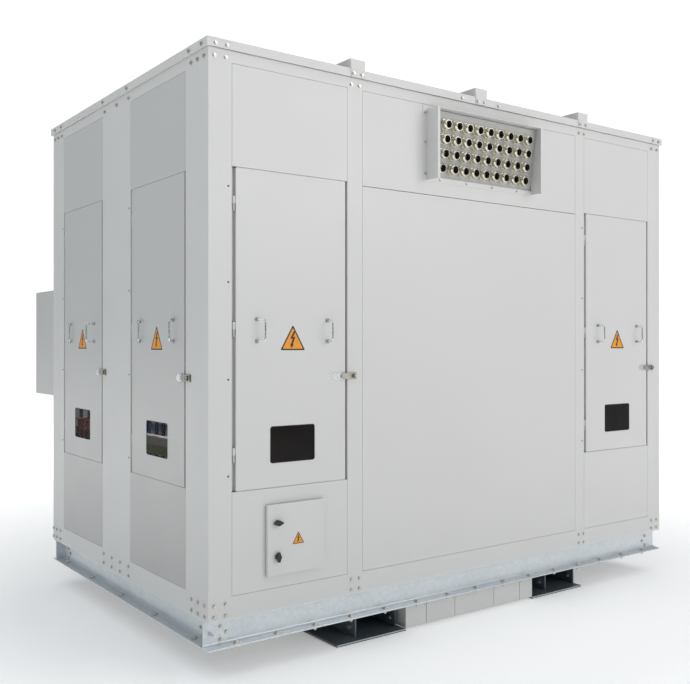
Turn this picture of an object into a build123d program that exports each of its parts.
from build123d import *
import math
import os

# Metal-enclosed dry-type transformer on a channel base, millimetres, +Z up.
# The origin is on the ground under the middle of the four anchor holes.  The front faces -Y.

# ---- driving dimensions --------------------------------------------------------------
WIDTH = 3200                      # cabinet, along X
DEPTH = 2020                      # cabinet, along Y
FOOT_HEIGHT = 137
BASE_HEIGHT = 126
FLOOR = FOOT_HEIGHT + BASE_HEIGHT  # underside of the cabinet
RAIL_TOP = FLOOR + 94             # top of the bottom rails
DOOR_BOTTOM = FLOOR + 546
DOOR_TOP = FLOOR + 1945
PANEL_SPLIT = FLOOR + 1937        # seam between the two centre panels
POST_TOP = FLOOR + 2393
ROOF_BOTTOM = FLOOR + 2445
ROOF_TOP = FLOOR + 2484
BEAM_TOP = ROOF_TOP + 45
ROOF_OVERHANG = 12
BEAM_X = (-818, 0, 830)
BEAM_END_T = 4
SHEET = 2                         # door and panel sheet
FRAME_SHEET = 3                   # posts, rails and roof
SEAM = 1.5                        # half of the visible seam between two panels
FOLD = 25                         # depth of a folded edge

HALF_W = WIDTH / 2
HALF_D = DEPTH / 2

# Openings and posts, measured along each face from its middle, left to right.
OPENING = 619
FRONT_OPENINGS = {"front_left": -1487, "front_right": 859}
LEFT_OPENINGS = {"side_rear": -820, "side_front": 176}
FRONT_POSTS = [(-868, -780), (781, 859)]
CENTRE_BAY = (-780, 781)
SIDE_POST = (-201, 176)
SIDE_LEGS = (190, 215)            # corner legs on a side face, rear and front

# A door, measured from the hinge edge of its opening; depth is counted inward from the face.
DOOR_LEFT = 20
DOOR_RIGHT = 605
HINGE_U = 11
HINGE_DEPTH = 6
KNUCKLE_R = 6
PIN_R = 3
PIN_PLAY = 0.05
HINGE_HEIGHTS = [FLOOR + 700, FLOOR + 1245, FLOOR + 1790]
WINDOW = (240, 165)
WINDOW_HEIGHT = FLOOR + 733
WINDOW_CORNER = 12
BAIL_U = (124, 502)
BAIL_HEIGHT = FLOOR + 1242
BAIL_SPAN = 96
BAIL_REACH = 36
BAIL_ROD = 4
BAIL_EYE = 4.4                    # half the height of the eye at each end
BAIL_PIN_R = 2.5
BAIL_AXIS = 10                    # pivot axis in front of the door
HASP_U = 582                      # pivot of the hasp strap
HASP_HEIGHT = FLOOR + 1031
STAPLE_U = 650
# How far each pair of folding handles stands turned about its feet, in degrees.
BAIL_TURN = {
    "front_left": (36, -1),
    "front_right": (14, -6),
    "side_front": (67, 45),
    "side_rear": (73, -2),
}

# Channel base and feet
CHANNEL_FLANGE = 53
FLANGE_T = 9                      # at the middle of a tapered flange
FLANGE_TAPER = 3                  # thinner by this at the tip, thicker at the web
WEB_T = 5.5
FOOT_X = (466, 893)
FOOT_SETBACK = 50
FOOT_DEPTH = 320
FOOT_T = 8
SOLE_T = 10
UPRIGHT_SETBACK = 55              # from the front edge of a foot's sole to its uprights
UPRIGHT_U = ((-741, -490), (640, 889))
ANCHOR_X = 680
ANCHOR_Y = 930
ANCHOR_R = 9
DUCT_GROUND_GAP = 12
DUCT_SEAMS = (-329, -129, 160, 364)

# Gland hood in the centre bay
HOOD_MIDDLE = 17.5
HOOD_WIDTH = 775
HOOD_DEPTH = 84
HOOD_BOTTOM = FLOOR + 2010
HOOD_TOP = FLOOR + 2367
HOOD_FLANGE = 27
GLAND_PLATE_T = 4
GLAND_PLATE_BOTTOM = FLOOR + 2031
GLAND_PLATE_INSET = 8             # its bottom edge lies this far inside the cabinet face
GLAND_PLATE_LEAN = 48             # how far its top edge stands out from its bottom edge
GLAND_PLATE_DROP = 9              # the glands and the plate sit this much below the middle
GLAND_COLUMNS = 9
GLAND_ROWS = 4
GLAND_PITCH = (75, 73)
GLAND_BORE_R = 19
GLAND_THREAD_R = 23.5
GLAND_REACH = 42

# Control box in the left sill panel and junction box on the back
CONTROL_X = (-1318, -1014)
CONTROL_Z = (FLOOR + 155, FLOOR + 470)
CONTROL_DEPTH = 150
CONTROL_KNOBS = {"upper": FLOOR + 388, "lower": FLOOR + 237}
CONTROL_KNOB_X = -1268
JUNCTION_X = (-1598, -1100)
JUNCTION_Z = (FLOOR + 867, FLOOR + 1506)
JUNCTION_DEPTH = 335
JUNCTION_KNOBS = {"upper": FLOOR + 1428, "lower": FLOOR + 960}
BOX_SHEET = 2
BOX_DOOR_T = 16
KNOB_R = 13
KNOB_WING = 22
KNOB_REACH = 18
KNOB_SHAFT_R = 5

# The transformer inside
LIMB_X = (-700, 0, 700)
LIMB_STEPS = ((280, 160), (220, 220), (160, 280))
CORE_BOTTOM = FLOOR + 190
CORE_TOP = FLOOR + 1870
YOKE = 280
LV_R = (168, 212)
LV_Z = (FLOOR + 540, FLOOR + 1520)
HV_R = (250, 330)
HV_Z = (FLOOR + 570, FLOOR + 1490)
CLAMP_Y = (150, 215)
CLAMP_HEIGHT = 190
CLAMP_HALF_LENGTH = 1050
FAN_X = (-233, 233)
FAN_R = 190
FAN_FRAME = 430
FAN_HEIGHT = 90
FLOOR_PLATE = (FLOOR + FRAME_SHEET, FLOOR + 2 * FRAME_SHEET)
TERMINAL_BEAM_X = (-1425, -1385)


# ---- shape helpers ------------------------------------------------------------------
def block(x0, x1, y0, y1, z0, z1):
    box = Box(x1 - x0, y1 - y0, z1 - z0, align=(Align.MIN, Align.MIN, Align.MIN))
    return Pos(x0, y0, z0) * box


def slab(xa, xb, y0, y1, z0, z1):
    """A block whose two X limits may come in either order."""
    return block(min(xa, xb), max(xa, xb), y0, y1, z0, z1)


def rod(radius, start, end):
    start, end = Vector(*start), Vector(*end)
    plane = Plane(origin=start, z_dir=end - start)
    length = (end - start).length
    return plane * Cylinder(radius, length, align=(Align.CENTER, Align.CENTER, Align.MIN))


def ring(outer, inner, start, end):
    return rod(outer, start, end) - rod(inner, start, end)


def hex_head(size, start, end):
    start, end = Vector(*start), Vector(*end)
    plane = Plane(origin=start, z_dir=end - start)
    return plane * extrude(RegularPolygon(size, 6), (end - start).length)


def tray(u0, u1, z0, z1, sheet=SHEET, fold=FOLD):
    """A flat panel whose four edges are folded inward."""
    hollow = block(u0 + sheet, u1 - sheet, sheet, fold + 1, z0 + sheet, z1 - sheet)
    return block(u0, u1, 0, fold, z0, z1) - hollow


def save(name, *shapes):
    """Write the solids of one sub-part to its own STEP file."""
    solids = [solid for shape in shapes for solid in shape.solids()]
    export_step(solids[0] if len(solids) == 1 else Compound(solids), f"parts/{name}.step")


# Each face has its own frame: X runs left to right as seen from outside, Y runs inward, Z up.
FRONT = Pos(0, -HALF_D, 0)
LEFT = Pos(-HALF_W, 0, 0) * Rot(0, 0, -90)
REAR = Pos(0, HALF_D, 0) * Rot(0, 0, 180)
RIGHT = Pos(HALF_W, 0, 0) * Rot(0, 0, 90)
FACES = [(FRONT, HALF_W), (REAR, HALF_W), (LEFT, HALF_D), (RIGHT, HALF_D)]


# ---- base, feet and under-floor duct -------------------------------------------------
def base_channel(face, half_length):
    """A rolled channel along one face, open side outward, with tapered and rounded flanges."""
    web, tip, root = CHANNEL_FLANGE - WEB_T, FLANGE_T - FLANGE_TAPER, FLANGE_T + FLANGE_TAPER
    section = Polygon(
        (0, 0), (CHANNEL_FLANGE, 0), (CHANNEL_FLANGE, BASE_HEIGHT), (0, BASE_HEIGHT),
        (0, BASE_HEIGHT - tip), (web, BASE_HEIGHT - root), (web, root), (0, tip),
        align=None,
    )
    for corner, radius in (((web, root), 9), ((web, BASE_HEIGHT - root), 9), ((0, tip), 3), ((0, BASE_HEIGHT - tip), 3)):
        section = fillet(section.vertices().sort_by_distance((*corner, 0))[0], radius)
    start = Plane(origin=(-half_length, 0, FOOT_HEIGHT), x_dir=(0, 1, 0), z_dir=(1, 0, 0))
    return face * (start * extrude(section, 2 * half_length))


def mitred(shape, face, half_length, z0, z1):
    """The stretch of a perimeter ring that lies along one face, cut at 45 degrees."""
    inset = 200
    wedge = Polygon(
        (-half_length, 0), (half_length, 0), (half_length - inset, inset), (inset - half_length, inset),
        align=None,
    )
    return shape & (face * Pos(0, 0, z0) * extrude(wedge, z1 - z0))


def cross_beam(x):
    """A channel from front to rear between the base channels."""
    end = HALF_D - CHANNEL_FLANGE
    z1 = FLOOR - FLANGE_T
    body = block(x - 25, x + 25, -end, end, FOOT_HEIGHT, z1)
    return body - block(x - 25 + WEB_T, x + 26, -end, end, FOOT_HEIGHT + FLANGE_T, z1 - FLANGE_T)


def earth_stud():
    """M12 earthing stud with its nut, welded to the web of the front base channel."""
    u, z, web = -HALF_W + 35, FOOT_HEIGHT + 60, CHANNEL_FLANGE - WEB_T
    return FRONT * (rod(6, (u, web, z), (u, web - 38, z)) + hex_head(11, (u, web, z), (u, web - 9, z)))


def build_base():
    side_half = HALF_D - CHANNEL_FLANGE
    channels = [base_channel(FRONT, HALF_W) + earth_stud(), base_channel(REAR, HALF_W)]
    channels += [base_channel(LEFT, side_half), base_channel(RIGHT, side_half)]
    beams = [cross_beam(x) for x in (-FOOT_X[1] + 30, -FOOT_X[0] - 30, FOOT_X[0] + 30, FOOT_X[1] - 30)]
    save("base_channels", *channels, *beams)


def foot(face, u0, u1, uprights):
    """A welded foot: a sole, a top plate, two uprights, a back plate and an anchor hole."""
    near, far = FOOT_SETBACK, FOOT_SETBACK + FOOT_DEPTH
    z0, z1 = SOLE_T, FOOT_HEIGHT - FOOT_T
    body = block(u0, u1, near, far, 0, SOLE_T) + block(u0, u1, near, far, z1, FOOT_HEIGHT)
    body += block(u0, u1, far - FOOT_T, far, z0, z1)
    for u in uprights:
        body += block(u - FOOT_T / 2, u + FOOT_T / 2, near + UPRIGHT_SETBACK, far - FOOT_T, z0, z1)
    anchor = math.copysign(ANCHOR_X, u0)
    depth = HALF_D - ANCHOR_Y
    return face * (body - rod(ANCHOR_R, (anchor, depth, -1), (anchor, depth, SOLE_T + 1)))


def build_feet():
    spans = [(-FOOT_X[1], -FOOT_X[0]), FOOT_X]
    feet = [foot(face, *span, uprights) for face in (FRONT, REAR) for span, uprights in zip(spans, UPRIGHT_U)]
    save("feet", *feet)


def build_duct():
    """A shallow sheet box between the feet that brings cooling air to the fans."""
    x, y, t = FOOT_X[0], HALF_D - FOOT_SETBACK, FRAME_SHEET
    z0, z1 = DUCT_GROUND_GAP, FOOT_HEIGHT
    sheets = [block(-x, x, -y, y, z0, z0 + t)]
    sheets += [block(side - t if side > 0 else side, side if side > 0 else side + t, t - y, y - t, z0 + t, z1) for side in (-x, x)]
    edges = (-x, *DUCT_SEAMS, x)
    for u0, u1 in zip(edges, edges[1:]):
        left, right = u0 + (u0 > -x) * SEAM, u1 - (u1 < x) * SEAM
        sheets.append(block(left, right, -y, t - y, z0 + t, z1))
    grille = block(-x, x, y - t, y, z0 + t, z1)
    for row in (40, 70, 100):
        for column in range(-3, 4):
            u = column * 120
            grille -= block(u - 45, u + 45, y - 2 * t, y + 1, row - 5, row + 5)
    save("under_floor_duct", *sheets, grille)


def build_floor():
    body = block(-HALF_W + 10, HALF_W - 10, -HALF_D + 10, HALF_D - 10, *FLOOR_PLATE)
    for x in FAN_X:
        body -= rod(FAN_R + 8, (x, 0, FLOOR_PLATE[0] - 1), (x, 0, FLOOR_PLATE[1] + 1))
    save("floor_plate", body)


# ---- frame and fixed panels ----------------------------------------------------------
def corner_post(side_x, side_y, front_leg, side_leg):
    """Folded angle post with two return lips, at the corner given by two signs."""
    t, lip = FRAME_SHEET, 40
    z0, z1 = RAIL_TOP, POST_TOP
    post = block(0, front_leg, 0, t, z0, z1) + block(0, t, 0, side_leg, z0, z1)
    post += block(front_leg - t, front_leg, 0, lip, z0, z1)
    post += block(0, lip, side_leg - t, side_leg, z0, z1)
    if side_x > 0:
        post = mirror(post, Plane.YZ)
    if side_y > 0:
        post = mirror(post, Plane.XZ)
    return Pos(side_x * HALF_W, side_y * HALF_D, 0) * post


def middle_post(face, u0, u1, depth=60):
    """Folded channel post, open inward."""
    t = FRAME_SHEET
    body = block(u0, u1, 0, depth, RAIL_TOP, POST_TOP)
    return face * (body - block(u0 + t, u1 - t, t, depth + 1, RAIL_TOP, POST_TOP))


def build_posts():
    front_left_leg = HALF_W + FRONT_OPENINGS["front_left"]
    front_right_leg = HALF_W - FRONT_OPENINGS["front_right"] - OPENING
    rear_leg, front_leg = SIDE_LEGS
    posts = [
        corner_post(-1, -1, front_left_leg, front_leg),
        corner_post(1, -1, front_right_leg, front_leg),
        corner_post(-1, 1, front_left_leg, rear_leg),
        corner_post(1, 1, front_left_leg, rear_leg),
    ]
    posts += [middle_post(FRONT, *span) for span in FRONT_POSTS]
    posts.append(middle_post(LEFT, *SIDE_POST))
    save("posts", *posts)


def rail(face, half, z0, z1, depth=50):
    """Folded channel rail along one face, open inward."""
    t = FRAME_SHEET
    body = block(-half, half, 0, depth, z0, z1)
    return face * (body - block(-half - 1, half + 1, t, depth + 1, z0 + t, z1 - t))


def build_rails():
    rails = []
    for z0, z1 in ((FLOOR, RAIL_TOP), (POST_TOP, ROOF_BOTTOM)):
        rails += [mitred(rail(face, half, z0, z1), face, half, z0, z1) for face, half in FACES]
    save("frame_rails", *rails)


def panel(u0, u1, z0, z1):
    return tray(u0 + SEAM, u1 - SEAM, z0 + SEAM, z1 - SEAM)


def build_front_panels():
    panels = [panel(*CENTRE_BAY, RAIL_TOP, PANEL_SPLIT)]
    upper = panel(*CENTRE_BAY, PANEL_SPLIT, POST_TOP)
    half = HOOD_WIDTH / 2 - 1.5
    upper -= block(
        HOOD_MIDDLE - half, HOOD_MIDDLE + half, -1, SHEET + 1, GLAND_PLATE_BOTTOM - 2, HOOD_TOP - 8
    )
    panels.append(upper)
    for u0 in FRONT_OPENINGS.values():
        panels.append(panel(u0, u0 + OPENING, DOOR_TOP + 3, POST_TOP))
        sill = panel(u0, u0 + OPENING, RAIL_TOP, DOOR_BOTTOM - 3)
        sill -= block(
            CONTROL_X[0] + 12, CONTROL_X[1] - 12, -1, SHEET + 1, CONTROL_Z[0] + 12, CONTROL_Z[1] - 12
        )
        panels.append(sill)
    save("front_panels", *[FRONT * shape for shape in panels])


def build_side_panels():
    left = []
    for u0 in LEFT_OPENINGS.values():
        left.append(panel(u0, u0 + OPENING, DOOR_TOP + 3, POST_TOP))
        left.append(panel(u0, u0 + OPENING, RAIL_TOP, DOOR_BOTTOM - 3))
    save("left_panels", *[LEFT * shape for shape in left])
    front_end, rear_end = SIDE_LEGS[1] - HALF_D, HALF_D - SIDE_LEGS[0]
    right = [panel(front_end, 12, RAIL_TOP, POST_TOP), panel(12, rear_end, RAIL_TOP, POST_TOP)]
    save("right_panels", *[RIGHT * shape for shape in right])


def louvred_panel(u0, u1):
    """A rear panel with a bank of air slots high and low."""
    body = panel(u0, u1, RAIL_TOP, POST_TOP)
    middle = (u0 + u1) / 2
    for first in (RAIL_TOP + 120, POST_TOP - 420):
        for row in range(8):
            z = first + row * 40
            for u in (middle - 165, middle + 165):
                body -= block(u - 140, u + 140, -1, SHEET + 1, z - 5, z + 5)
    return body


def build_rear_panels():
    half = -FRONT_OPENINGS["front_left"]
    third = 2 * half / 3
    spans = [(-half + i * third, -half + (i + 1) * third) for i in range(3)]
    save("rear_panels", *[REAR * louvred_panel(*span) for span in spans])


def build_roof():
    x, y, t = HALF_W + ROOF_OVERHANG, HALF_D + ROOF_OVERHANG, FRAME_SHEET
    body = block(-x, x, -y, y, ROOF_BOTTOM, ROOF_TOP)
    body -= block(-x + t, x - t, -y + t, y - t, ROOF_BOTTOM - 1, ROOF_TOP - t)
    save("roof_panel", body)


def roof_beam(x):
    """A hat beam over the roof with a tapered plate closing each end."""
    y, t, half = HALF_D + ROOF_OVERHANG, BEAM_END_T, 44
    body = block(x - half, x + half, -y, y, ROOF_TOP, BEAM_TOP)
    body -= block(x - half + t, x + half - t, -y - 1, y + 1, ROOF_TOP - 1, BEAM_TOP - t)
    outline = Polygon(
        (x - half, BEAM_TOP), (x - half + 9, ROOF_BOTTOM), (x + half - 9, ROOF_BOTTOM), (x + half, BEAM_TOP),
        align=None,
    )
    for outer_end in (-y, y + t):
        body += Plane(origin=(0, outer_end, 0), x_dir=(1, 0, 0), z_dir=(0, -1, 0)) * extrude(outline, t)
    return body


def build_roof_beams():
    save("roof_beams", *[roof_beam(x) for x in BEAM_X])


# ---- cable entry ----------------------------------------------------------------------
def gland_plate_frame():
    """Frame on the gland plate: X along the cabinet, Y up the plate, Z outward."""
    rise = HOOD_TOP - FRAME_SHEET - GLAND_PLATE_BOTTOM
    length = math.hypot(rise, GLAND_PLATE_LEAN)
    normal = (0, -rise / length, -GLAND_PLATE_LEAN / length)
    middle = (HOOD_MIDDLE, -HALF_D + GLAND_PLATE_INSET - GLAND_PLATE_LEAN / 2, GLAND_PLATE_BOTTOM + rise / 2)
    return Plane(origin=middle, x_dir=(1, 0, 0), z_dir=normal), length


def gland_places():
    """Centres of the glands on the gland plate, bottom row first."""
    for row in range(GLAND_ROWS):
        for column in range(GLAND_COLUMNS):
            x = (column - (GLAND_COLUMNS - 1) / 2) * GLAND_PITCH[0]
            y = (row - (GLAND_ROWS - 1) / 2) * GLAND_PITCH[1] - GLAND_PLATE_DROP
            yield row, column, x, y


def build_gland_hood():
    u0, u1 = HOOD_MIDDLE - HOOD_WIDTH / 2, HOOD_MIDDLE + HOOD_WIDTH / 2
    t, front = FRAME_SHEET, -HOOD_DEPTH
    flange = block(u0 - HOOD_FLANGE, u1 + HOOD_FLANGE, -t, 0, HOOD_BOTTOM - 5, POST_TOP - 3)
    flange -= block(u0 + t, u1 - t, -t - 1, 1, GLAND_PLATE_BOTTOM, HOOD_TOP - t)
    hood = flange + block(u0, u1, front, 0, HOOD_TOP - t, HOOD_TOP)
    for cheek, lip in ((u0, u0), (u1 - t, u1 - 16)):
        hood += block(cheek, cheek + t, front, 0, HOOD_BOTTOM, HOOD_TOP)
        hood += block(lip, lip + 16, front, front + t, HOOD_BOTTOM, HOOD_TOP)
    save("gland_hood", FRONT * hood)


def build_gland_plate():
    frame, length = gland_plate_frame()
    width = HOOD_WIDTH - 2 * FRAME_SHEET - 1
    plate = Pos(0, -GLAND_PLATE_DROP, 0) * Box(width, length + 12, GLAND_PLATE_T)
    for _, _, x, y in gland_places():
        plate -= Pos(x, y, 0) * Cylinder(GLAND_THREAD_R + 0.3, 2 * GLAND_PLATE_T)
    save("gland_plate", frame * plate)


def gland(reach):
    """One nickel-plated gland: spigot and locknut inside, hexagon and dome nut outside."""
    face = GLAND_PLATE_T / 2
    spigot = rod(GLAND_THREAD_R, (0, 0, -20), (0, 0, face))
    locknut = hex_head(31, (0, 0, -face - 7), (0, 0, -face))
    body = hex_head(30.5, (0, 0, face), (0, 0, face + 9)) + rod(25, (0, 0, face + 9), (0, 0, reach - 16))
    nut = rod(27.5, (0, 0, reach - 16), (0, 0, reach - 6))
    crown = Pos(0, 0, reach - 3) * Cone(27.5, 22, 6)
    return spigot + locknut + body + nut + crown - rod(GLAND_BORE_R, (0, 0, -21), (0, 0, reach + 1))


def build_glands():
    frame, _ = gland_plate_frame()
    full, short = gland(GLAND_REACH), gland(GLAND_REACH - 13)
    glands = []
    for row, column, x, y in gland_places():
        shape = short if (row, column) == (0, 0) else full
        glands.append(frame * Pos(x, y, 0) * shape)
    save("cable_glands", *glands)


# ---- doors ----------------------------------------------------------------------------
def door_leaf():
    leaf = tray(DOOR_LEFT, DOOR_RIGHT, DOOR_BOTTOM, DOOR_TOP)
    middle = (DOOR_LEFT + DOOR_RIGHT) / 2
    cut = extrude(RectangleRounded(*WINDOW, WINDOW_CORNER), 10, both=True)
    leaf -= Pos(middle, 0, WINDOW_HEIGHT) * Rot(90, 0, 0) * cut
    for z in HINGE_HEIGHTS:
        knuckle = ring(KNUCKLE_R, PIN_R + PIN_PLAY, (HINGE_U, HINGE_DEPTH, z + 0.5), (HINGE_U, HINGE_DEPTH, z + 32))
        tab = block(HINGE_U, DOOR_LEFT + 1, HINGE_DEPTH - 2, HINGE_DEPTH + 2, z + 0.5, z + 32)
        tab -= rod(PIN_R + PIN_PLAY, (HINGE_U, HINGE_DEPTH, z), (HINGE_U, HINGE_DEPTH, z + 33))
        leaf += knuckle + tab
    return leaf


def window_pane():
    middle = (DOOR_LEFT + DOOR_RIGHT) / 2
    half_u, half_z = WINDOW[0] / 2 + 14, WINDOW[1] / 2 + 14
    z0, z1 = WINDOW_HEIGHT - half_z, WINDOW_HEIGHT + half_z
    return block(middle - half_u, middle + half_u, SHEET, SHEET + 5, z0, z1)


def bail_foot(u, z):
    """A fork screwed to the door; its pin carries one end of a folding handle."""
    foot_shape = rod(10, (u, 0, z), (u, -3, z))
    for side in (-1, 1):
        z0, z1 = sorted((z + side * (BAIL_EYE + 0.5), z + side * (BAIL_EYE + 3.5)))
        foot_shape += block(u - 5.5, u + 5.5, -BAIL_AXIS, -2, z0, z1)
        foot_shape += rod(5.5, (u, -BAIL_AXIS, z0), (u, -BAIL_AXIS, z1))
    return foot_shape + rod(BAIL_PIN_R, (u, -BAIL_AXIS, z - 7), (u, -BAIL_AXIS, z + 7))


def bail(u, turn):
    """A folding handle bent from round bar, with an eye at each end."""
    half = BAIL_SPAN / 2
    bend = 11
    start = -4
    path = FilletPolyline(
        (0, start, half), (0, -BAIL_REACH, half), (0, -BAIL_REACH, -half), (0, start, -half), radius=bend
    )
    section = Plane(origin=(0, start, half), z_dir=(0, -1, 0)) * Circle(BAIL_ROD)
    handle = sweep(section, path=path)
    for z in (half, -half):
        handle += rod(5.5, (0, 0, z - BAIL_EYE), (0, 0, z + BAIL_EYE))
        handle -= rod(BAIL_PIN_R + PIN_PLAY, (0, 0, z - 6), (0, 0, z + 6))
    return Pos(u, -BAIL_AXIS, BAIL_HEIGHT) * Rot(0, 0, turn) * handle


def hasp_leaf():
    """The fixed half of a hasp: a screwed plate with two knuckles and the pin."""
    z = HASP_HEIGHT
    leaf = block(HASP_U - 36, HASP_U - 5, -2.5, 0, z - 17, z + 17)
    leaf += rod(17, (HASP_U - 36, 0, z), (HASP_U - 36, -2.5, z))
    for screw in (z - 9, z + 9):
        leaf += rod(4, (HASP_U - 22, -2.5, screw), (HASP_U - 22, -4.5, screw))
    for z0, z1 in ((z - 17, z - 8.5), (z + 8.5, z + 17)):
        leaf += block(HASP_U - 6, HASP_U, -5, -2.5, z0, z1) + block(HASP_U - 8, HASP_U - 4, -5, 0, z0, z1)
        leaf += rod(3.5, (HASP_U, -5, z0), (HASP_U, -5, z1))
    return leaf + rod(1.8, (HASP_U, -5, z - 16), (HASP_U, -5, z + 16))


def hasp_strap():
    """The swinging half: it reaches over the gap and drops over the staple."""
    z = HASP_HEIGHT
    end = STAPLE_U + 18
    strap = block(HASP_U + 2, end, -7, -4.5, z - 15, z + 15)
    strap += block(HASP_U, HASP_U + 4, -7, -4.5, z - 8, z + 8)
    strap += rod(3.5, (HASP_U, -5, z - 8), (HASP_U, -5, z + 8))
    strap -= rod(1.8 + PIN_PLAY, (HASP_U, -5, z - 9), (HASP_U, -5, z + 9))
    for z0, z1 in ((z - 16, z - 8), (z + 8, z + 16)):
        strap -= block(HASP_U - 5, HASP_U + 4.2, -8, -1, z0, z1)
    return strap - block(STAPLE_U - 5, STAPLE_U + 7, -8, -4, z - 11, z + 11)


def hasp_staple():
    """The fixed eye on the post that takes a padlock."""
    z = HASP_HEIGHT
    foot_plate = block(STAPLE_U - 17, STAPLE_U + 22, -2, 0, z - 17, z + 17)
    eye = block(STAPLE_U - 2.5, STAPLE_U + 2.5, -17, -1, z - 8, z + 8)
    eye += rod(8, (STAPLE_U - 2.5, -17, z), (STAPLE_U + 2.5, -17, z))
    eye -= rod(4.5, (STAPLE_U - 3, -16, z), (STAPLE_U + 3, -16, z))
    return foot_plate + eye


def hinge_strip():
    """The fixed side of a door hinge line: a screwed strip with lower knuckles and pins."""
    strip = block(0.5, DOOR_LEFT - 1, 15, 17, DOOR_BOTTOM, DOOR_TOP)
    pitch = (DOOR_TOP - DOOR_BOTTOM - 150) / 3
    for i in range(4):
        z = DOOR_BOTTOM + 75 + i * pitch
        strip += rod(3.5, (4.5, 15, z), (4.5, 13, z))
    for z in HINGE_HEIGHTS:
        strip += rod(KNUCKLE_R, (HINGE_U, HINGE_DEPTH, z - 32), (HINGE_U, HINGE_DEPTH, z))
        strip += rod(PIN_R, (HINGE_U, HINGE_DEPTH, z), (HINGE_U, HINGE_DEPTH, z + 34))
        strip += block(HINGE_U - 3, HINGE_U + 3, HINGE_DEPTH, 16, z - 32, z)
    return strip


def build_doors():
    places = {name: FRONT * Pos(u, 0, 0) for name, u in FRONT_OPENINGS.items()}
    places.update({name: LEFT * Pos(u, 0, 0) for name, u in LEFT_OPENINGS.items()})
    leaf, pane, strap = door_leaf(), window_pane(), hasp_strap()
    half = BAIL_SPAN / 2
    feet = [bail_foot(u, BAIL_HEIGHT + side * half) for u in BAIL_U for side in (-1, 1)]
    for name, place in places.items():
        save(f"{name}_door", place * leaf)
        save(f"{name}_window", place * pane)
        save(f"{name}_fittings", place * hasp_leaf(), *[place * shape for shape in feet])
        save(f"{name}_hasp", place * strap)
        for side, u, turn in zip(("left", "right"), BAIL_U, BAIL_TURN[name]):
            save(f"{name}_handle_{side}", place * bail(u, turn))
    save("hinge_strips", *[place * hinge_strip() for place in places.values()])
    save("hasp_staples", *[place * hasp_staple() for place in places.values()])


# ---- control box and junction box ------------------------------------------------------
def wing_knob(turn, stem):
    """A quarter-turn knob on a shaft through its door; local Y runs inward from the door face."""
    knob = rod(KNOB_R, (0, -KNOB_REACH, 0), (0, -0.6, 0))
    outline = Polygon((-KNOB_WING, -4), (0, -KNOB_R + 2), (KNOB_WING, -4), (KNOB_WING, 4), (0, KNOB_R - 2), (-KNOB_WING, 4))
    wings = Plane(origin=(0, -8, 0), x_dir=(1, 0, 0), z_dir=(0, -1, 0)) * extrude(outline, 12)
    shaft = rod(KNOB_SHAFT_R, (0, -2, 0), (0, stem, 0))
    tongue = block(-6, 22, stem - 3, stem, -6, 6)
    return Rot(0, turn, 0) * (knob + wings + shaft + tongue)


def box_shell(x0, x1, z0, z1, depth, lip):
    """An open-fronted sheet box with a flange round its mouth; local Y runs inward."""
    t = BOX_SHEET
    body = block(x0, x1, 0, depth, z0, z1) - block(x0 + t, x1 - t, -1, depth - t, z0 + t, z1 - t)
    flange = block(x0 - lip, x1 + lip, -t, 0, z0 - lip, z1 + lip)
    return body + flange - block(x0 + t, x1 - t, -t - 1, 1, z0 + t, z1 - t)


def box_hinge(u, depth, z, lower):
    """One pin hinge: the lower half stays with the box, the upper with the door."""
    centre = (u, depth)
    if lower:
        pin = rod(2, (*centre, z), (*centre, z + 16))
        return rod(4.5, (*centre, z - 17), (*centre, z)) + pin
    return ring(4.5, 2 + PIN_PLAY, (*centre, z + 0.5), (*centre, z + 17))


def cabinet_box(place, names, u0, u1, z0, z1, depth, hinge_side, knob_u, knobs, lip, flange_t):
    """A box with a hinged slab door and two quarter-turn knobs, saved as its separate pieces."""
    t = BOX_SHEET
    shell = box_shell(u0 + 14, u1 - 14, z0 + 14, z1 - 14, depth, lip) if lip else (
        block(u0, u1, 0, depth, z0, z1) - block(u0 + t, u1 - t, -1, depth - t, z0 + t, z1 - t)
    )
    edge = u1 if hinge_side > 0 else u0
    axis_u = edge + hinge_side * 5
    axis_depth = -flange_t - BOX_DOOR_T / 2
    face = -flange_t - 0.5
    door = block(u0, u1, face - BOX_DOOR_T, face, z0, z1)
    door -= block(u0 + t, u1 - t, face - BOX_DOOR_T + t, face + 1, z0 + t, z1 - t)
    inner, outward = (edge - hinge_side * 5, axis_u + hinge_side * 3)
    wing_depth = (-flange_t, 0) if lip else (0, 3)
    for z in (z0 + 0.28 * (z1 - z0), z0 + 0.73 * (z1 - z0)):
        shell += box_hinge(axis_u, axis_depth, z, True)
        shell += slab(axis_u, axis_u - hinge_side * 4, axis_depth, wing_depth[0] + 1, z - 17, z)
        shell += slab(inner, outward, *wing_depth, z - 17, z)
        tab = slab(edge - hinge_side, axis_u, axis_depth - 2, axis_depth + 2, z + 0.5, z + 17)
        tab -= rod(2 + PIN_PLAY, (axis_u, axis_depth, z), (axis_u, axis_depth, z + 18))
        door += box_hinge(axis_u, axis_depth, z, False) + tab
    outer = face - BOX_DOOR_T
    turns = {"upper": 0, "lower": 90}
    for which, z in knobs.items():
        door -= rod(KNOB_SHAFT_R + PIN_PLAY, (knob_u, outer - 1, z), (knob_u, outer + t + 1, z))
        knob = Pos(knob_u, outer, z) * wing_knob(turns[which], BOX_DOOR_T - 1)
        save(f"{names}_knob_{which}", place * knob)
    save(f"{names}_box", place * shell)
    save(f"{names}_door", place * door)


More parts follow.
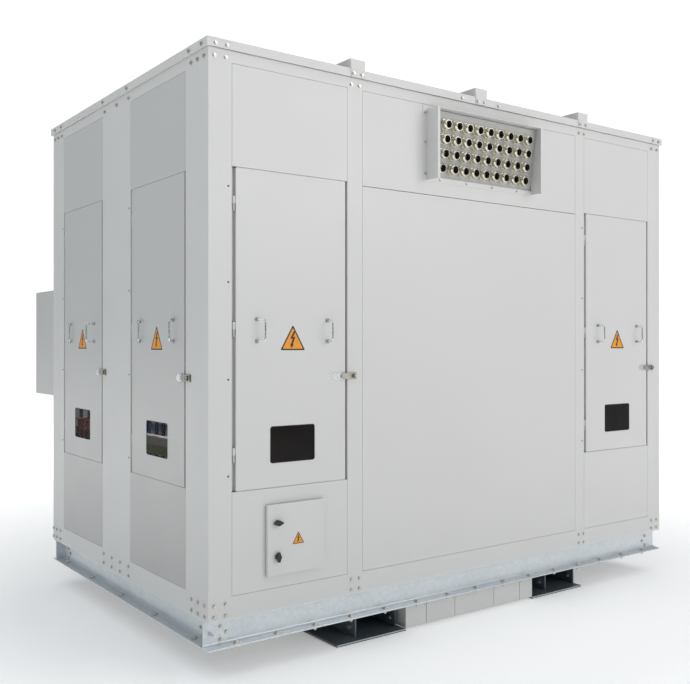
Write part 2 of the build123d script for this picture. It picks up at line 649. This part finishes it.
def build_boxes():
    cabinet_box(
        FRONT, "control", *CONTROL_X, *CONTROL_Z, CONTROL_DEPTH, 1, CONTROL_KNOB_X, CONTROL_KNOBS, 10, BOX_SHEET,
    )
    outer = REAR * Pos(0, -JUNCTION_DEPTH, 0)
    cabinet_box(
        outer, "junction", -JUNCTION_X[1], -JUNCTION_X[0], *JUNCTION_Z, JUNCTION_DEPTH, -1,
        -JUNCTION_X[0] - 42, JUNCTION_KNOBS, 0, 0,
    )


# ---- bolts ----------------------------------------------------------------------------
def bolt(face, u, z, depth=0, size=7.5):
    """A hexagon head on its washer, standing on a face."""
    washer = rod(size + 2, (u, depth, z), (u, depth - 1.6, z))
    return face * (washer + hex_head(size, (u, depth - 1.6, z), (u, depth - 7, z)))


def flange_bolt(face, u):
    """A bolt through the lower flange of a base channel, on a square washer that takes up the taper."""
    depth, half, top = 24, 13, FLANGE_T + FLANGE_TAPER
    tip, web = FLANGE_T - FLANGE_TAPER, CHANNEL_FLANGE - WEB_T
    near, far = (tip + (top - tip) * d / web for d in (depth - half, depth + half))
    section = Polygon(
        (depth - half, near), (depth + half, far), (depth + half, top), (depth - half, top), align=None
    )
    start = Plane(origin=(u - half, 0, FOOT_HEIGHT), x_dir=(0, 1, 0), z_dir=(1, 0, 0))
    seat, bottom = FOOT_HEIGHT + top, FOOT_HEIGHT
    head = start * extrude(section, 2 * half) + hex_head(10, (u, depth, seat), (u, depth, seat + 7))
    nut = hex_head(10, (u, depth, bottom), (u, depth, bottom - 9)) + rod(6, (u, depth, bottom - 9), (u, depth, bottom - 15))
    return face * Compound([head, nut])


def upright_bolt(u):
    """A bolt head on the outer side of a foot's upright."""
    depth, z = FOOT_SETBACK + UPRIGHT_SETBACK + 42, 48
    return rod(13, (u, depth, z), (u - 2, depth, z)) + hex_head(10, (u - 2, depth, z), (u - 10, depth, z))


def build_bolts():
    heads = []
    corners = [side * (HALF_W - inset) for side in (-1, 1) for inset in (29, 84)]
    middles = [-845, -797, 812, 857]
    low_side = [974, 914, 852, 150, 41, -72, -183, -883, -947, -1000]
    high_side = [974, 914, 852, 158, 0, -166, -851, -914, -969]
    fascia_side = [974, 852, 158, -166, -830, -940]
    low_z, high_z, fascia_z = (FLOOR + 17, FLOOR + 65), FLOOR + 2412, FLOOR + 2461
    for face in (FRONT, REAR):
        heads += [bolt(face, u, z) for u in corners + middles for z in (*low_z, high_z)]
        heads += [bolt(face, u, fascia_z, -ROOF_OVERHANG) for u in (*corners, -134, 134)]
    for face, side in ((FRONT, 1), (REAR, -1)):
        plate = -ROOF_OVERHANG - BEAM_END_T
        heads += [bolt(face, side * x + u, fascia_z, plate) for x in BEAM_X for u in (-24, 24)]
    for face in (LEFT, RIGHT):
        heads += [bolt(face, u, z) for u in low_side for z in low_z]
        heads += [bolt(face, u, high_z) for u in high_side]
        heads += [bolt(face, u, fascia_z, -ROOF_OVERHANG) for u in fascia_side]
    hood_t = -FRAME_SHEET
    heads += [bolt(FRONT, u, HOOD_BOTTOM + 8, hood_t, 5) for u in (-281, -96, 94, 284)]
    flange_u = HOOD_WIDTH / 2 + HOOD_FLANGE / 2
    for z in (FLOOR + 2040, FLOOR + 2200, FLOOR + 2350):
        heads += [bolt(FRONT, HOOD_MIDDLE + side * flange_u, z, hood_t, 5) for side in (-1, 1)]
    for face, half in FACES:
        spans, reach = (14, half - 148) if half == HALF_W else (4, half - 178)
        heads += [flange_bolt(face, reach * (2 * i / spans - 1)) for i in range(spans + 1)]
        end = half - 84 if half == HALF_W else half - 137
        for side in (-1, 1):
            for inset, height in ((0, 84), (28, 57), (0, 28)):
                heads.append(bolt(face, side * (end - inset), FOOT_HEIGHT + height, CHANNEL_FLANGE - WEB_T, 8))
    for face in (FRONT, REAR):
        for u in (u for pair in UPRIGHT_U for u in pair):
            heads.append(face * upright_bolt(u - FOOT_T / 2))
    save("frame_bolts", *heads)


# ---- the transformer inside ------------------------------------------------------------
def build_core():
    body = None
    for width, depth in LIMB_STEPS:
        for x in LIMB_X:
            limb = block(x - width / 2, x + width / 2, -depth / 2, depth / 2, CORE_BOTTOM + 60, CORE_TOP - 60)
            body = limb if body is None else body + limb
        end = LIMB_X[2] + width / 2
        for middle in (CORE_BOTTOM + YOKE / 2, CORE_TOP - YOKE / 2):
            body += block(-end, end, -depth / 2, depth / 2, middle - width / 2, middle + width / 2)
    save("core", body)


def clamp(side, z0):
    """A channel that squeezes a yoke, as its web and two flanges; it runs the length of the core."""
    y0, y1 = CLAMP_Y
    z1 = z0 + CLAMP_HEIGHT
    x = CLAMP_HALF_LENGTH
    plates = [block(-x, x, y0, y0 + 10, z0, z1)]
    plates += [block(-x, x, y0 + 10, y1, z, z + 10) for z in (z0, z1 - 10)]
    return plates if side > 0 else [mirror(plate, Plane.XZ) for plate in plates]


def build_core_frame():
    lower, upper = CORE_BOTTOM + 45, CORE_TOP - 45 - CLAMP_HEIGHT
    channels = [plate for side in (-1, 1) for z in (lower, upper) for plate in clamp(side, z)]
    stands = []
    for x in (-950, 950):
        stands.append(block(x - 60, x + 60, -260, 260, FLOOR_PLATE[1], FLOOR_PLATE[1] + 20))
        for y0, y1 in ((-CLAMP_Y[1], -CLAMP_Y[0]), CLAMP_Y):
            stands.append(block(x - 40, x + 40, y0, y1, FLOOR_PLATE[1] + 20, lower))
    rods = []
    for x in (-1000, -350, 350, 1000):
        for y in (-CLAMP_Y[1] + 30, CLAMP_Y[1] - 30):
            rods.append(rod(10, (x, y, lower + CLAMP_HEIGHT), (x, y, upper)))
    save("core_frame", *channels, *stands, *rods)


def build_windings():
    lv = [ring(LV_R[1], LV_R[0], (x, 0, LV_Z[0]), (x, 0, LV_Z[1])) for x in LIMB_X]
    hv = [ring(HV_R[1], HV_R[0], (x, 0, HV_Z[0]), (x, 0, HV_Z[1])) for x in LIMB_X]
    save("lv_windings", *lv)
    save("hv_windings", *hv)


def coil_blocks():
    """Cast-resin blocks that hold each pair of windings between the upper and lower clamps."""
    blocks = []
    lower_top, upper_bottom = CORE_BOTTOM + 45 + CLAMP_HEIGHT, CORE_TOP - 45 - CLAMP_HEIGHT
    for x in LIMB_X:
        for side in (-1, 1):
            y0, y1 = sorted((side * (HV_R[0] - 58), side * (HV_R[0] + 30)))
            for z0, z1, edge in ((lower_top, HV_Z[0], LV_Z[0]), (HV_Z[1], upper_bottom, LV_Z[1])):
                piece = block(x - 45, x + 45, y0, y1, z0, z1)
                notch = ring(LV_R[1] + 1, LV_R[0] - 1, (x, 0, LV_Z[0] - 1), (x, 0, LV_Z[1] + 1))
                blocks.append(piece - notch)
    return blocks


def post_insulator(x, y, z, height):
    """A ribbed cast-resin post."""
    post = rod(24, (x, y, z), (x, y, z + height))
    for i in range(3):
        middle = z + height * (i + 1) / 4
        post += rod(36, (x, y, middle - 6), (x, y, middle + 6))
    return post


def build_terminals():
    shelf_z = FLOOR + 520
    inner = -HALF_W + 60
    beam_z = FLOOR + 655
    beam_x0, beam_x1 = TERMINAL_BEAM_X
    frame = [block(beam_x0, beam_x0 + 4, -790, 300, beam_z, beam_z + 45)]
    frame += [block(beam_x0 + 4, beam_x1, -790, 300, z, z + 4) for z in (beam_z, beam_z + 41)]
    frame += [block(*TERMINAL_BEAM_X, y, y + 40, FLOOR_PLATE[1], beam_z) for y in (-790, 260)]
    frame.append(block(inner, inner + 140, 520, 940, shelf_z, shelf_z + 6))
    frame += [block(inner + 50, inner + 90, y, y + 40, FLOOR_PLATE[1], shelf_z) for y in (520, 900)]
    save("terminal_frame", *frame)
    top = shelf_z + 6
    posts = [post_insulator(inner + 70, y, top, 200) for y in (600, 740, 880)]
    clamp_top = CORE_TOP - 45
    y_lv = -(CLAMP_Y[0] + CLAMP_Y[1]) / 2
    posts += [post_insulator(x, y_lv, clamp_top, 110) for x in (-300, 300)]
    save("resin_supports", *posts, *coil_blocks())
    hv_top = top + 200
    bars = [block(inner + 45, inner + 700, y - 20, y + 20, hv_top, hv_top + 8) for y in (600, 740, 880)]
    lv_bar_z = clamp_top + 110
    bars.append(block(-760, 760, y_lv - 35, y_lv + 35, lv_bar_z, lv_bar_z + 10))
    save("busbars", *bars)


def build_fans():
    housings, top = [], FLOOR_PLATE[1]
    half = FAN_FRAME / 2
    for x in FAN_X:
        frame = block(x - half, x + half, -half, half, top, top + FAN_HEIGHT)
        frame -= rod(FAN_R + 8, (x, 0, top - 1), (x, 0, top + FAN_HEIGHT + 1))
        for angle in (45, 135):
            bar = Pos(x, 0, top + 4) * Rot(0, 0, angle) * Box(2 * FAN_R + 30, 16, 8)
            frame += bar
        frame += rod(52, (x, 0, top), (x, 0, top + 34)) + rod(7, (x, 0, top + 34), (x, 0, top + 76))
        housings.append(frame)
    save("fan_housings", *housings)
    for name, x in zip(("left", "right"), FAN_X):
        z = top + 38
        rotor = rod(55, (x, 0, z), (x, 0, z + 34))
        for i in range(6):
            blade = Pos(115, 0, 0) * Rot(28, 0, 0) * Box(140, 62, 3)
            rotor += Pos(x, 0, z + 17) * Rot(0, 0, 60 * i) * blade
        rotor -= rod(7 + PIN_PLAY, (x, 0, z - 1), (x, 0, z + 35))
        save(f"fan_impeller_{name}", rotor)


os.makedirs("parts", exist_ok=True)
build_base()
build_feet()
build_duct()
build_floor()
build_posts()
build_rails()
build_front_panels()
build_side_panels()
build_rear_panels()
build_roof()
build_roof_beams()
build_gland_hood()
build_gland_plate()
build_glands()
build_doors()
build_boxes()
build_bolts()
build_core()
build_core_frame()
build_windings()
build_terminals()
build_fans()
